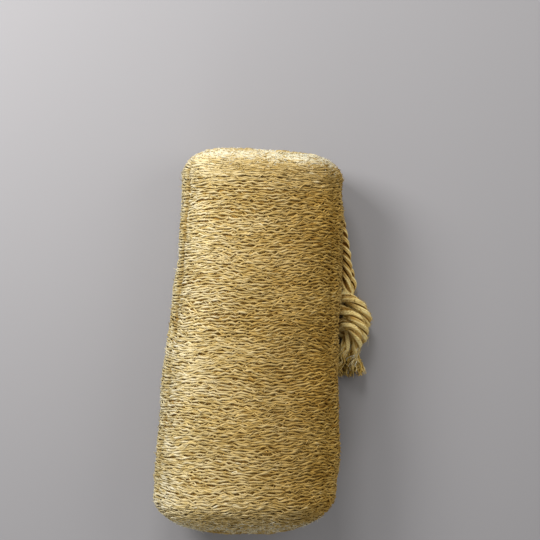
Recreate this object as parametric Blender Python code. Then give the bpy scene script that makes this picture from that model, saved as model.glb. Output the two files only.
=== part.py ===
"""Natural loofah sponge with a hanging loop of twisted cotton cord, lying on its pressed underside.

The frame: +Z up, +Y along the sponge towards the end with the cord, +X to the side where the cord lies.
The origin is on the surface that the sponge lies on, under the middle of the sponge's box.
"""

import math
import random

import bmesh
import bpy
import numpy as np
from mathutils import Vector, noise

MM = 0.001

# The sponge: its outline from above, given at a few stations along it, and its thickness there.
LENGTH = 179 * MM
STATIONS = np.array([-75, -40, -5, 30, 58, 75]) * MM
LEFT_EDGE = np.array([-44.4, -41.6, -38.4, -34.0, -31.6, -30.8]) * MM
RIGHT_EDGE = np.array([40.6, 42.4, 42.0, 43.4, 44.2, 44.2]) * MM
THICKNESS = np.array([52, 51.5, 50, 48.5, 47, 46]) * MM
ROUNDNESS = 2.3  # exponent of the flattened oval section: 2 is an ellipse, more is squarer
PRESSED = 1.2 * MM  # how much of the underside is pressed flat by lying on it

# The ends: how far the rounding reaches along the sponge, and the share of the section that the cut face takes.
CORD_END_DEPTH, CORD_END_FACE, CORD_END_SHARPNESS = 14 * MM, 0.62, 3.8
BLUNT_END_DEPTH, BLUNT_END_FACE, BLUNT_END_SHARPNESS = 18.5 * MM, 0.42, 2.1

# Shallow furrows that run along the fruit, as angles round the section from the +X side, and one dent.
FURROWS_DEG = (28, 74, 112, 205, 248, 292, 335)
FURROW_DEPTH, FURROW_WIDTH_DEG = 0.7 * MM, 7
# A sharper crease inside the left edge, which fades towards the blunt end.
CREASE_DEG, CREASE_DEPTH, CREASE_WIDTH_DEG, CREASE_FADES = 158, 1.6 * MM, 6, (-10 * MM, 35 * MM)
# The cord end's cut is slanted: it falls towards +X by this share, and by this much as a whole, from here on.
CUT_SLANT, CUT_DROP, CUT_FROM = 0.06, 0.9 * MM, 42 * MM
DENT_AT, DENT_REACH, DENT_DEPTH = Vector((43, 6, 13)) * MM, 15 * MM, 3.0 * MM
LUMP_SIZE, LUMP_HEIGHT = 26 * MM, 0.7 * MM

# The raised net: six-sided meshes, long across the sponge, in staggered columns.
NET_COLUMNS = 24
NET_ROWS = 56
MESH_JITTER = 0.30
ROW_WANDER = 1.1
PIT_DEPTH = 1.25 * MM
END_RINGS = (1.0, 0.74, 0.48, 0.24)
RESTING_SPOT = (11 * MM, 26 * MM)
SEED = 11

# Three seed channels from end to end: place as a share of the half section, and half width and height.
CHANNELS = {
    "left": (-0.47, -0.08, 7.6 * MM, 6.2 * MM),
    "middle": (0.02, 0.30, 7.6 * MM, 5.2 * MM),
    "right": (0.47, -0.08, 7.6 * MM, 6.2 * MM),
}
CHANNEL_SIDES, CHANNEL_RINGS = 12, 9
CHANNEL_OVERSHOOT = 6 * MM
CHANNEL_WAVER = 0.07

# The cord: three-strand cotton, threaded through the side of the sponge and knotted into a loop.
CORD_RADIUS = 2.6 * MM
CORD_CLEARANCE = 0.35 * MM
CORD_SIDES_LEVEL = 3
LOOP_STEP = 2.6 * MM
UPPER_LEG = [
    (46.0, 24.0, 9.0), (46.4, 29, 8.8), (46.3, 37, 8.5), (45.4, 43.5, 8.5), (44.4, 49.5, 8.7),
    (43.3, 55.0, 9.0), (41.6, 60.5, 9.7), (38.4, 65.3, 11.4), (34.0, 68.8, 14.0),
]
BIGHT = [(29.6, 70.3, 16.8), (25.6, 72.2, 19.2), (24.4, 75.4, 19.9), (25.6, 78.6, 19.0), (29.4, 80.6, 16.4)]
LOWER_LEG = [
    (33.8, 80.8, 12.8), (37.6, 78.8, 9.0), (40.0, 75.0, 6.0), (41.2, 69.5, 3.9), (41.6, 63.0, 3.1),
    (41.8, 56.0, 3.0), (42.6, 48.0, 3.0), (44.4, 40.0, 3.0), (47.2, 33.0, 3.0), (48.5, 28.5, 3.0),
    (48.8, 24.0, 3.0),
]

# The knot: the lower leg's cord wound round the upper leg's, and both running out into frayed tails, as
# hand-placed centres in millimetres that go on from the ends of the legs.
KNOT_RADIUS = 2.6 * MM
KNOT_CORE = [
    (47.2, 20.0, 7.8), (48.9, 15.0, 7.5), (48.8, 9.5, 7.6), (48.0, 4.0, 7.8), (46.8, -1.0, 7.2), (45.0, -5.5, 6.0),
    (43.6, -11.0, 4.6), (43.2, -15.0, 3.9),
]
KNOT_WOUND = [
    (47.4, 21.2, 2.9), (44.8, 19.6, 3.6), (42.4, 19.8, 6.4),
    (43.0, 20.3, 9.8), (45.8, 19.9, 12.0), (49.7, 18.2, 13.0), (52.6, 15.6, 12.2), (54.8, 12.4, 10.2), (56.0, 9.0, 7.6),
    (55.6, 7.4, 4.8), (53.6, 8.0, 3.0), (50.4, 11.2, 2.8), (46.4, 14.8, 3.0), (43.0, 16.2, 5.2),
    (42.2, 15.2, 8.6), (44.9, 13.3, 11.3), (48.6, 11.7, 12.7), (52.0, 8.5, 12.2), (54.0, 4.9, 10.0), (54.6, 2.0, 7.2),
    (53.4, -0.2, 4.3), (50.2, -0.6, 2.9), (46.2, 1.6, 3.0), (43.4, 4.6, 4.8),
    (43.2, 6.9, 8.2), (45.6, 7.2, 11.0), (48.8, 5.5, 12.2), (51.0, 2.2, 11.4), (51.6, -1.2, 9.0), (50.8, -4.0, 6.2),
    (50.2, -6.8, 4.6), (50.2, -11.0, 4.0), (51.2, -15.2, 3.9),
]
TAIL_START, TAIL_FLARE = -8 * MM, 1.3
KNOT_STEP = 1.6 * MM
KNOT_VOXEL = 1.1 * MM
KNOT_TOP = 23.7 * MM

MATERIALS = {
    "loofah_fibre": ((0.60, 0.46, 0.24, 1), 0.85),
    "cotton_cord": ((0.68, 0.56, 0.38, 1), 0.9),
}


def clear_scene():
    for old in list(bpy.data.objects):
        bpy.data.objects.remove(old)


def material(name):
    colour, roughness = MATERIALS[name]
    made = bpy.data.materials.get(name) or bpy.data.materials.new(name)
    made.use_nodes = True
    shader = made.node_tree.nodes["Principled BSDF"]
    shader.inputs["Base Color"].default_value = colour
    shader.inputs["Roughness"].default_value = roughness
    shader.inputs["Metallic"].default_value = 0
    return made


def add_mesh(name, bm, material_name):
    """A bmesh as a named object with its faces pointing out."""
    bmesh.ops.recalc_face_normals(bm, faces=bm.faces)
    mesh = bpy.data.meshes.new(name)
    bm.to_mesh(mesh)
    bm.free()
    mesh.materials.append(material(material_name))
    made = bpy.data.objects.new(name, mesh)
    bpy.context.scene.collection.objects.link(made)
    return made


def smooth_through(stations, values, at):
    """Cubic curve through the values at the stations, level past the first and the last."""
    slopes = np.gradient(values, stations)
    at = np.clip(at, stations[0], stations[-1])
    i = np.clip(np.searchsorted(stations, at, side="right") - 1, 0, len(stations) - 2)
    step = stations[i + 1] - stations[i]
    t = (at - stations[i]) / step
    rise = values[i + 1] - values[i]
    bend = (slopes[i] * step - rise) * (1 - t) + (rise - slopes[i + 1] * step) * t
    return values[i] + rise * t + t * (1 - t) * bend


def section(y):
    """Middle across, half width, middle height and half thickness of the sponge at y."""
    left = smooth_through(STATIONS, LEFT_EDGE, y)
    right = smooth_through(STATIONS, RIGHT_EDGE, y)
    half_height = smooth_through(STATIONS, THICKNESS, y) / 2
    return (left + right) / 2, (right - left) / 2, half_height - PRESSED, half_height


def rounding(depth, face, sharpness, count=40):
    """Distance in from the end, and share of the section, from the cut face's rim to the full section."""
    start = math.asin(face ** (sharpness / 2))
    turn = np.linspace(start, math.pi / 2, count)
    return depth * (1 - np.cos(turn)), np.sin(turn) ** (2 / sharpness)


def side_profile():
    """Length along the side, place along Y and share of the section, from the blunt end's rim to the cord end's."""
    blunt_in, blunt_share = rounding(BLUNT_END_DEPTH, BLUNT_END_FACE, BLUNT_END_SHARPNESS)
    cord_in, cord_share = rounding(CORD_END_DEPTH, CORD_END_FACE, CORD_END_SHARPNESS)
    y = np.concatenate([-LENGTH / 2 + blunt_in, (LENGTH / 2 - cord_in)[::-1]])
    share = np.concatenate([blunt_share, cord_share[::-1]])
    out = share * (RIGHT_EDGE - LEFT_EDGE).mean() / 2
    along = np.concatenate([[0], np.cumsum(np.hypot(np.diff(y), np.diff(out)))])
    return along, y, share


def even_angles(count=720):
    """Angles round the section that are evenly spaced along its outline."""
    turn = np.linspace(0, 2 * math.pi, count + 1)
    _, wide, _, high = section(np.array([0.0]))
    across, up = oval(turn)
    along = np.concatenate([[0], np.cumsum(np.hypot(np.diff(across * wide), np.diff(up * high)))])
    return along / along[-1], turn


def oval(turn):
    """The flattened oval of half width and half height 1."""
    c, s = np.cos(turn), np.sin(turn)
    power = 2 / ROUNDNESS
    return np.sign(c) * np.abs(c) ** power, np.sign(s) * np.abs(s) ** power


ALONG, PROFILE_Y, PROFILE_SHARE = side_profile()
ROUND, TURNS = even_angles()


def skin(around, along):
    """A point on the sponge's smooth outside: share of the way round, and share of the way along its side."""
    y = float(np.interp(along * ALONG[-1], ALONG, PROFILE_Y))
    share = float(np.interp(along * ALONG[-1], ALONG, PROFILE_SHARE))
    return shaped(around, y, share)


def shaped(around, y, share):
    """The section at y, drawn in to a share of its size, with furrows, lumps, the dent and the pressed underside."""
    turn = float(np.interp(around % 1.0, ROUND, TURNS))
    middle, wide, height, high = (float(v) for v in section(np.array(y)))
    across, up = (float(v) for v in oval(np.array(turn)))
    point = Vector((middle + share * wide * across, y, height + share * high * up))
    outward = Vector((across / wide, 0, up / high)).normalized()
    away = [(math.degrees(turn) - at + 180) % 360 - 180 for at in FURROWS_DEG]
    furrow = sum(math.exp(-((a / FURROW_WIDTH_DEG) ** 2)) for a in away)
    lump = noise.noise(point / LUMP_SIZE + Vector((3, 5, 7)))
    fade = (y - CREASE_FADES[0]) / (CREASE_FADES[1] - CREASE_FADES[0])
    crease = math.exp(-(((math.degrees(turn) - CREASE_DEG) / CREASE_WIDTH_DEG) ** 2)) * min(max(fade, 0.2), 1)
    near = (point - DENT_AT).length / DENT_REACH
    dent = DENT_DEPTH * max(0.0, 1 - near * near) ** 2
    point += outward * (share * (LUMP_HEIGHT * lump - FURROW_DEPTH * furrow - CREASE_DEPTH * crease) - dent)
    into = min(max((point.y - CUT_FROM) / (LENGTH / 2 - CUT_FROM), 0.0), 1.05) ** 2
    point.y -= into * (CUT_SLANT * (point.x - (LEFT_EDGE[-1] + RIGHT_EDGE[-1]) / 2) + CUT_DROP)
    point.z = max(point.z, 0.0)
    return point


def net_vertex(key, rows, jitter):
    """A net joint from its place in the lattice: 3 steps across to a column, 2 steps along to a row."""
    across, along = key
    if 0 < along < rows:
        wander = noise.noise(Vector((across * 0.13, along * 0.08, 4))) * ROW_WANDER
        across += jitter.uniform(-MESH_JITTER, MESH_JITTER) * 2
        along = min(max(along + jitter.uniform(-MESH_JITTER, MESH_JITTER) + wander, 0.4), rows - 0.4)
    return skin(across / (3 * NET_COLUMNS), along / rows)


def add_net(bm):
    """The side of the sponge as meshes of the net. Returns them and each end's rim, in order round it."""
    rows = 2 * NET_ROWS
    jitter = random.Random(SEED)
    made = {}
    corners = ((2, 0), (1, 1), (-1, 1), (-2, 0), (-1, -1), (1, -1))

    def vertex(across, along):
        key = (across % (3 * NET_COLUMNS), min(max(along, 0), rows))
        if key not in made:
            made[key] = bm.verts.new(net_vertex(key, rows, jitter))
        return made[key]

    cells = []
    for column in range(NET_COLUMNS):
        for row in range(NET_ROWS + 1 - column % 2):
            middle = (3 * column, 2 * row + column % 2)
            cells.append(bm.faces.new([vertex(middle[0] + a, middle[1] + b) for a, b in corners]))
    rims = []
    for end in (0, rows):
        keys = sorted(key for key in made if key[1] == end)
        rims.append([made[key] for key in keys])
    return cells, rims


def add_end(bm, rim, direction, dome):
    """A cut end: rings of meshes that close on a slightly domed face, two rim edges to each outer mesh."""
    cells = []
    count = len(rim) // 2
    middle = sum((v.co for v in rim), Vector()) / len(rim)
    outer = rim
    for share in END_RINGS[1:]:
        ring = []
        for i in range(count):
            point = middle.lerp(rim[2 * i].co, share)
            point.y = rim[2 * i].co.y + direction * dome * (1 - share * share)
            ring.append(bm.verts.new(point))
        for i in range(count):
            following = (i + 1) % count
            if len(outer) == 2 * count:
                edge = [outer[2 * i], outer[2 * i + 1], outer[(2 * i + 2) % len(outer)]]
            else:
                edge = [outer[i], outer[following]]
            cells.append(bm.faces.new(edge + [ring[following], ring[i]]))
        outer = ring
    cells.append(bm.faces.new(outer))
    return cells


def rests(cell):
    """Whether a mesh of the net lies in the flat spot that the sponge rests on."""
    middle = cell.calc_center_median()
    return abs(middle.x) < RESTING_SPOT[0] and abs(middle.y) < RESTING_SPOT[1] and middle.z < 0.2 * MM


def centre_on_origin(bm):
    """Moves the sponge so that the middle of its box is over the origin."""
    for axis in (0, 1):
        values = [v.co[axis] for v in bm.verts]
        shift = (min(values) + max(values)) / 2
        for v in bm.verts:
            v.co[axis] -= shift


def build_sponge():
    bm = bmesh.new()
    cells, (blunt_rim, cord_rim) = add_net(bm)
    cells += add_end(bm, blunt_rim, -1, -LENGTH / -2 + PROFILE_Y[0])
    cells += add_end(bm, cord_rim, 1, LENGTH / 2 - PROFILE_Y[-1])
    centre_on_origin(bm)
    bmesh.ops.recalc_face_normals(bm, faces=bm.faces)
    open_meshes = [cell for cell in cells if not rests(cell)]
    bmesh.ops.poke(bm, faces=open_meshes, offset=-PIT_DEPTH, center_mode="MEAN")
    return add_mesh("loofah_body", bm, "loofah_fibre")


def channel_cutter(name, place):
    """A wavering oval tunnel along the sponge, from past one end to past the other."""
    share_across, share_up, half_width, half_height = place
    bm = bmesh.new()
    rings = []
    reach = LENGTH / 2 + CHANNEL_OVERSHOOT
    for y in np.linspace(-reach, reach, CHANNEL_RINGS):
        middle, wide, height, high = (float(v) for v in section(np.array(y)))
        ring = []
        for turn in np.linspace(0, 2 * math.pi, CHANNEL_SIDES, endpoint=False):
            swell = 1 + CHANNEL_WAVER * math.sin(3 * turn + 90 * y + 9 * share_across)
            swell *= 1 + CHANNEL_WAVER * math.sin(55 * y + 7 * share_across)
            ring.append(
                bm.verts.new(
                    (
                        middle + share_across * wide + swell * half_width * math.cos(turn),
                        y,
                        height + share_up * high + swell * half_height * math.sin(turn),
                    )
                )
            )
        rings.append(ring)
    for ring, following in zip(rings, rings[1:]):
        for i in range(CHANNEL_SIDES):
            j = (i + 1) % CHANNEL_SIDES
            bm.faces.new((ring[i], ring[j], following[j], following[i]))
    bm.faces.new(rings[0])
    bm.faces.new(rings[-1])
    return as_cutter(add_mesh(f"channel_{name}", bm, "loofah_fibre"))


def as_cutter(cutter):
    cutter.hide_render = True
    cutter.display_type = "WIRE"
    return cutter


def cut(body, cutter):
    modifier = body.modifiers.new(cutter.name, "BOOLEAN")
    modifier.operation = "DIFFERENCE"
    modifier.solver = "EXACT"
    modifier.object = cutter


def smooth_route(points, step):
    """Points a step apart on a smooth curve through hand-placed ones, which are in millimetres."""
    knots = np.array(points, float) * MM
    chord = np.concatenate([[0], np.cumsum(np.linalg.norm(np.diff(knots, axis=0), axis=1))])
    fine = np.linspace(0, chord[-1], 24 * len(knots))
    line = np.stack([smooth_through(chord, knots[:, k], fine) for k in range(3)], axis=1)
    along = np.concatenate([[0], np.cumsum(np.linalg.norm(np.diff(line, axis=0), axis=1))])
    at = np.linspace(0, along[-1], max(2, round(along[-1] / step) + 1))
    return np.stack([np.interp(at, along, line[:, k]) for k in range(3)], axis=1)


def tube(name, route, radius, swell=None):
    """A round tube with closed ends along a route, as a curve with a bevel."""
    curve = bpy.data.curves.new(name, "CURVE")
    curve.dimensions = "3D"
    curve.bevel_depth = radius
    curve.bevel_resolution = CORD_SIDES_LEVEL
    curve.use_fill_caps = True
    spline = curve.splines.new("POLY")
    spline.points.add(len(route) - 1)
    for i, (spot, place) in enumerate(zip(spline.points, route)):
        spot.co = (*place, 1)
        spot.radius = 1 if swell is None else float(swell[i])
    curve.materials.append(material("cotton_cord"))
    made = bpy.data.objects.new(name, curve)
    bpy.context.scene.collection.objects.link(made)
    return made


def as_mesh(curve_object, name):
    """A curve object's tube as a mesh object, in its place."""
    mesh = bpy.data.meshes.new_from_object(curve_object)
    mesh.name = name
    bm = bmesh.new()
    bm.from_mesh(mesh)
    bmesh.ops.remove_doubles(bm, verts=bm.verts, dist=0.00001)
    bpy.data.objects.remove(curve_object)
    return add_mesh(name, bm, "cotton_cord")


def build_cord():
    """The loop from knot to knot, through the sponge, and the tunnel that it lies in."""
    route = smooth_route(UPPER_LEG + BIGHT + LOWER_LEG, LOOP_STEP)
    loop = tube("cord_loop", route, CORD_RADIUS)
    tunnel = as_mesh(tube("tunnel_curve", route, CORD_RADIUS + CORD_CLEARANCE), "cord_tunnel")
    return loop, as_cutter(tunnel)


def build_knot():
    """One cord wound round the other, their turns grown together, with the short tails flaring out of the knot."""
    strands = []
    for name, points in (("core", UPPER_LEG[1::-1] + KNOT_CORE), ("wound", LOWER_LEG[-2:] + KNOT_WOUND)):
        route = smooth_route(points, KNOT_STEP)
        swell = np.interp(route[:, 1], (TAIL_START, TAIL_START + 4 * MM), (TAIL_FLARE, 1.0))
        strands.append(as_mesh(tube(f"knot_{name}", route, KNOT_RADIUS, swell), f"knot_{name}"))
    bm = bmesh.new()
    for strand in strands:
        bm.from_mesh(strand.data)
        bpy.data.objects.remove(strand)
    knot = add_mesh("cord_knot", bm, "cotton_cord")
    fuse = knot.modifiers.new("fuse", "REMESH")
    fuse.mode = "VOXEL"
    fuse.voxel_size = KNOT_VOXEL
    bm = bmesh.new()
    bmesh.ops.create_cube(bm, size=40 * MM)
    bmesh.ops.translate(bm, verts=bm.verts, vec=(48 * MM, KNOT_TOP + 20 * MM, 8 * MM))
    cut(knot, as_cutter(add_mesh("knot_top", bm, "cotton_cord")))
    return knot


def build():
    clear_scene()
    sponge = build_sponge()
    for name, place in CHANNELS.items():
        cut(sponge, channel_cutter(name, place))
    loop, tunnel = build_cord()
    cut(sponge, tunnel)
    build_knot()


build()
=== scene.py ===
"""A natural loofah sponge on a pale table, lying on its pressed side, with its knotted loop of cotton cord.

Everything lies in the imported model's frame: +Y along the sponge towards the end that the cord goes through,
+X to the cord's side, +Z up. A place on the sponge's skin is given by how far round it lies, in turns from
the +X side over the top, and how far along it lies, in metres over the skin from the middle of the blunt
end's cut face.
"""

import math

import bmesh
import bpy
import numpy as np
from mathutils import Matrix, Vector


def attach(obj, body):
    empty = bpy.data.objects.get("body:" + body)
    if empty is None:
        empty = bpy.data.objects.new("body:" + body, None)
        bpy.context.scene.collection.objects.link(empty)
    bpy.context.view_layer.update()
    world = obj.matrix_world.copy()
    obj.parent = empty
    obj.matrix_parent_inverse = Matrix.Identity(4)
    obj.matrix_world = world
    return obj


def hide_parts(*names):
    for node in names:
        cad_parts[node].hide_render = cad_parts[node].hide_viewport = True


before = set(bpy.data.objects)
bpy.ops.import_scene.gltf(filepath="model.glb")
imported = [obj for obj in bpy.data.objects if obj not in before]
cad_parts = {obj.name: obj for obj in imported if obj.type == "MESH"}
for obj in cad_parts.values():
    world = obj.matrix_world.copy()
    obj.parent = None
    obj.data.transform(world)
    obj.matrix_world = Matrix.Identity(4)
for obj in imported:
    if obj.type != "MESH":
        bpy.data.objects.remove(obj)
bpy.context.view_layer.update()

MM = 0.001

# The sponge's form, as in its source, but for the crease, which is deeper and narrower here.
LENGTH = 179 * MM
STATIONS = np.array([-75, -40, -5, 30, 58, 75]) * MM
LEFT_EDGE = np.array([-44.4, -41.6, -38.4, -34.0, -31.6, -30.8]) * MM
RIGHT_EDGE = np.array([40.6, 42.4, 42.0, 43.4, 44.2, 44.2]) * MM
THICKNESS = np.array([52, 51.5, 50, 48.5, 47, 46]) * MM
ROUNDNESS = 2.3
PRESSED = 1.2 * MM
# Each end: how far its rounding reaches in, the share of the section that its cut face takes, its sharpness.
CORD_END, BLUNT_END = (14 * MM, 0.62, 3.8), (18.5 * MM, 0.42, 2.1)
FURROWS_DEG = (28, 74, 112, 205, 248, 292, 335)
FURROW_DEPTH, FURROW_WIDTH_DEG = 0.7 * MM, 7
CREASE_DEG, CREASE_DEPTH, CREASE_WIDTH_DEG = 158, 2.8 * MM, 3.6
CREASE_FADES, CREASE_LEAST = (-10 * MM, 35 * MM), 0.2
CREASE_STOPS, CREASE_STOPS_OVER = 4 * MM, 9 * MM  # how far before the cord end, and over what length
CUT_SLANT, CUT_DROP, CUT_FROM = 0.06, 0.9 * MM, 42 * MM
DENT_AT, DENT_REACH, DENT_DEPTH = np.array((43, 6, 13)) * MM, 15 * MM, 3.0 * MM
LUMP_SIZE, LUMP_HEIGHT = 26 * MM, 0.7 * MM
# The seed channels: each one's place as shares of the half section, and its half width and height.
CHANNELS = (
    (-0.47, -0.08, 7.6 * MM, 6.2 * MM),
    (0.02, 0.30, 7.6 * MM, 5.2 * MM),
    (0.47, -0.08, 7.6 * MM, 6.2 * MM),
)
CHANNEL_WAVER = 0.07

# The cord's route, as in its source, and its frayed tails. The places are in millimetres.
CORD_DIAMETER = 5.2 * MM
UPPER_LEG = [
    (46.0, 24.0, 9.0), (46.4, 29, 8.8), (46.3, 37, 8.5), (45.4, 43.5, 8.5), (44.4, 49.5, 8.7),
    (43.3, 55.0, 9.0), (41.6, 60.5, 9.7), (38.4, 65.3, 11.4), (34.0, 68.8, 14.0),
]
BIGHT = [(29.6, 70.3, 16.8), (25.6, 72.2, 19.2), (24.4, 75.4, 19.9), (25.6, 78.6, 19.0), (29.4, 80.6, 16.4)]
LOWER_LEG = [
    (33.8, 80.8, 12.8), (37.6, 78.8, 9.0), (40.0, 75.0, 6.0), (41.2, 69.5, 3.9), (41.6, 63.0, 3.1),
    (41.8, 56.0, 3.0), (42.6, 48.0, 3.0), (44.4, 40.0, 3.0), (47.2, 33.0, 3.0), (48.5, 28.5, 3.0),
    (48.8, 24.0, 3.0),
]
KNOT_CORE = [
    (47.2, 20.0, 7.8), (48.9, 15.0, 7.5), (48.8, 9.5, 7.6), (48.0, 4.0, 7.8), (46.8, -1.0, 7.2),
    (45.0, -5.5, 6.0), (43.6, -11.0, 4.6), (43.2, -15.0, 3.9),
]
KNOT_WOUND = [
    (47.4, 21.2, 2.9), (44.8, 19.6, 3.6), (42.4, 19.8, 6.4), (43.0, 20.3, 9.8), (45.8, 19.9, 12.0),
    (49.7, 18.2, 13.0), (52.6, 15.6, 12.2), (54.8, 12.4, 10.2), (56.0, 9.0, 7.6), (55.6, 7.4, 4.8),
    (53.6, 8.0, 3.0), (50.4, 11.2, 2.8), (46.4, 14.8, 3.0), (43.0, 16.2, 5.2), (42.2, 15.2, 8.6),
    (44.9, 13.3, 11.3), (48.6, 11.7, 12.7), (52.0, 8.5, 12.2), (54.0, 4.9, 10.0), (54.6, 2.0, 7.2),
    (53.4, -0.2, 4.3), (50.2, -0.6, 2.9), (46.2, 1.6, 3.0), (43.4, 4.6, 4.8), (43.2, 6.9, 8.2),
    (45.6, 7.2, 11.0), (48.8, 5.5, 12.2), (51.0, 2.2, 11.4), (51.6, -1.2, 9.0), (50.8, -4.0, 6.2),
    (50.2, -6.8, 4.6), (50.2, -11.0, 4.0), (51.2, -15.2, 3.9),
]
TAIL_OF_CORE = [(46.8, -1.0, 7.2), (45.0, -5.5, 6.0), (43.4, -11.0, 4.6), (42.6, -17.6, 3.6)]
TAIL_OF_WOUND = [(51.0, -3.2, 6.8), (50.2, -6.8, 4.6), (50.2, -11.0, 4.0), (51.8, -17.8, 3.6)]

# The photographed view: straight down on the sponge, with its width taken at the height of the outline.
VIEW_MIDDLE = (10.0 * MM, 32.8 * MM)
VIEW_WIDTH, VIEW_DISTANCE, OUTLINE_HEIGHT = 251.1 * MM, 0.7, 24 * MM
SENSOR_WIDTH = 36  # in millimetres, as the camera takes it
TABLE_HALF, TABLE_DROP = 3, 0.1 * MM

# Each light: its name, place and target, its size and power, and its colour.
LIGHTS = (
    ("key", (-0.30, 0.27, 0.32), (0.0, 0.0, 0.02), 0.20, 2.55, (1.0, 0.97, 0.93)),
    ("top", (-0.05, 0.56, 0.38), (0.05, 0.0, 0.01), 0.20, 2.3, (1.0, 0.97, 0.93)),
    ("side", (0.42, 0.16, 0.42), (0.10, 0.0, 0.0), 0.30, 0.8, (1.0, 0.96, 0.90)),
    ("blunt", (-0.16, -0.46, 0.21), (0.0, -0.10, 0.02), 0.24, 0.55, (1.0, 0.98, 0.95)),
)


# The sponge's skin.


def smooth_through(stations, values, at):
    """Cubic curve through the values at the stations, level past the first and the last."""
    slopes = np.gradient(values, stations)
    at = np.clip(at, stations[0], stations[-1])
    i = np.clip(np.searchsorted(stations, at, side="right") - 1, 0, len(stations) - 2)
    step = stations[i + 1] - stations[i]
    t = (at - stations[i]) / step
    rise = values[i + 1] - values[i]
    bend = (slopes[i] * step - rise) * (1 - t) + (rise - slopes[i + 1] * step) * t
    return values[i] + rise * t + t * (1 - t) * bend


def section(y):
    """Middle across, half width, middle height and half thickness of the sponge at y."""
    left = smooth_through(STATIONS, LEFT_EDGE, y)
    right = smooth_through(STATIONS, RIGHT_EDGE, y)
    half_height = smooth_through(STATIONS, THICKNESS, y) / 2
    return (left + right) / 2, (right - left) / 2, half_height - PRESSED, half_height


def oval(turn):
    """The flattened oval: cosine and sine, each raised to two over the roundness, with their signs kept."""
    c, s = np.cos(turn), np.sin(turn)
    power = 2 / ROUNDNESS
    return np.sign(c) * np.abs(c) ** power, np.sign(s) * np.abs(s) ** power


def end_profile(depth, face, sharpness, count=40):
    """How far in from an end the skin lies and at what share of the section, from the cut face's middle over
    its rim to the full section.

    The face is domed by the square of the share. Past its rim the skin lies in by the depth times one less
    cosine, at a share of the sine to the power of two over the sharpness.
    """
    inner = np.linspace(0.02, 1, 30, endpoint=False)
    turn = np.linspace(math.asin(face ** (sharpness / 2)), math.pi / 2, count)
    into, share = depth * (1 - np.cos(turn)), np.sin(turn) ** (2 / sharpness)
    return np.concatenate([into[0] * inner**2, into]), np.concatenate([face * inner, share])


def whole_profile():
    """Distance over the skin, y, share of the section, and how far the skin faces outwards and along y, from
    the blunt face's middle to the cord face's middle."""
    (blunt_in, blunt_share), (cord_in, cord_share) = end_profile(*BLUNT_END), end_profile(*CORD_END)
    y = np.concatenate([-LENGTH / 2 + blunt_in, (LENGTH / 2 - cord_in)[::-1]])
    share = np.concatenate([blunt_share, cord_share[::-1]])
    out = share * (RIGHT_EDGE - LEFT_EDGE).mean() / 2
    along = np.concatenate([[0], np.cumsum(np.hypot(np.diff(y), np.diff(out)))])
    facing_out, facing_y = np.gradient(y, along), -np.gradient(out, along)
    size = np.hypot(facing_out, facing_y)
    return along, y, share, facing_out / size, facing_y / size


def even_turns(count=1440):
    """Share of the way round the section's outline at each angle, so that equal shares are equal lengths;
    the angles; and the girth."""
    turn = np.linspace(0, 2 * math.pi, count + 1)
    _, wide, _, high = section(np.array([0.0]))
    across, up = oval(turn)
    step = np.hypot(np.diff(across * wide), np.diff(up * high))
    return np.concatenate([[0], np.cumsum(step)]) / step.sum(), turn, float(step.sum())


ALONG, PROFILE_Y, PROFILE_SHARE, FACING_OUT, FACING_Y = whole_profile()
ROUND, TURNS, GIRTH = even_turns()
RIM_Y = LENGTH / 2 - 2 * MM
BLUNT_RIM, CORD_RIM = (float(np.interp(y, PROFILE_Y, ALONG)) for y in (-RIM_Y, RIM_Y))


def bell(x, width):
    """1 in the middle, and e to the less the square of x over the width away from it."""
    return np.exp(-((x / width) ** 2))


def waves(around, along, size, seed, count=14):
    """Smooth drift of about -1 to 1: a sum of sines of random headings near one size, which close round the
    sponge, over the root of twice their number."""
    chance = np.random.default_rng(seed)
    total = np.zeros(np.broadcast(around, along).shape)
    wide, tall = size
    for _ in range(count):
        heading, phase = chance.uniform(0, math.pi), chance.uniform(0, 2 * math.pi)
        stretch = chance.uniform(0.7, 1.5)
        turns = round(GIRTH / (wide * stretch) * math.cos(heading))
        onward = turns * around + along * math.sin(heading) / (tall * stretch)
        total += np.sin(2 * math.pi * onward + phase)
    return total / math.sqrt(2 * count)


def skin(around, along, depth=0.0):
    """Points on the sponge's skin, or that far under it, and the way it faces there.

    The oval section, drawn in by its share and lifted out by the lumps, less the furrows and the dent, and
    never lower than the table.
    """
    around, along = np.broadcast_arrays(around, along)
    y, share = np.interp(along, ALONG, PROFILE_Y), np.interp(along, ALONG, PROFILE_SHARE)
    turn = np.interp(np.mod(around, 1), ROUND, TURNS)
    middle, wide, height, high = section(y)
    across, up = oval(turn)
    point = np.stack([middle + share * wide * across, y, height + share * high * up], axis=-1)
    out = np.stack([across / wide, np.zeros_like(y), up / high], axis=-1)
    out /= np.linalg.norm(out, axis=-1, keepdims=True)
    facing = out * np.interp(along, ALONG, FACING_OUT)[..., None]
    facing[..., 1] += np.interp(along, ALONG, FACING_Y)
    facing /= np.linalg.norm(facing, axis=-1, keepdims=True)
    degrees = np.degrees(turn)
    furrow = sum(bell((degrees - at + 180) % 360 - 180, FURROW_WIDTH_DEG) for at in FURROWS_DEG)
    crease = crease_at(degrees, y)
    lump = waves(around, along, (LUMP_SIZE, LUMP_SIZE), 3)
    near = np.linalg.norm(point - DENT_AT, axis=-1) / DENT_REACH
    dent = DENT_DEPTH * np.clip(1 - near**2, 0, None) ** 2
    lift = share * (LUMP_HEIGHT * lump - FURROW_DEPTH * furrow - CREASE_DEPTH * crease) - dent - depth
    point = slanted(point + facing * lift[..., None])
    point[..., 2] = np.maximum(point[..., 2], depth)
    return point, facing


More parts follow.
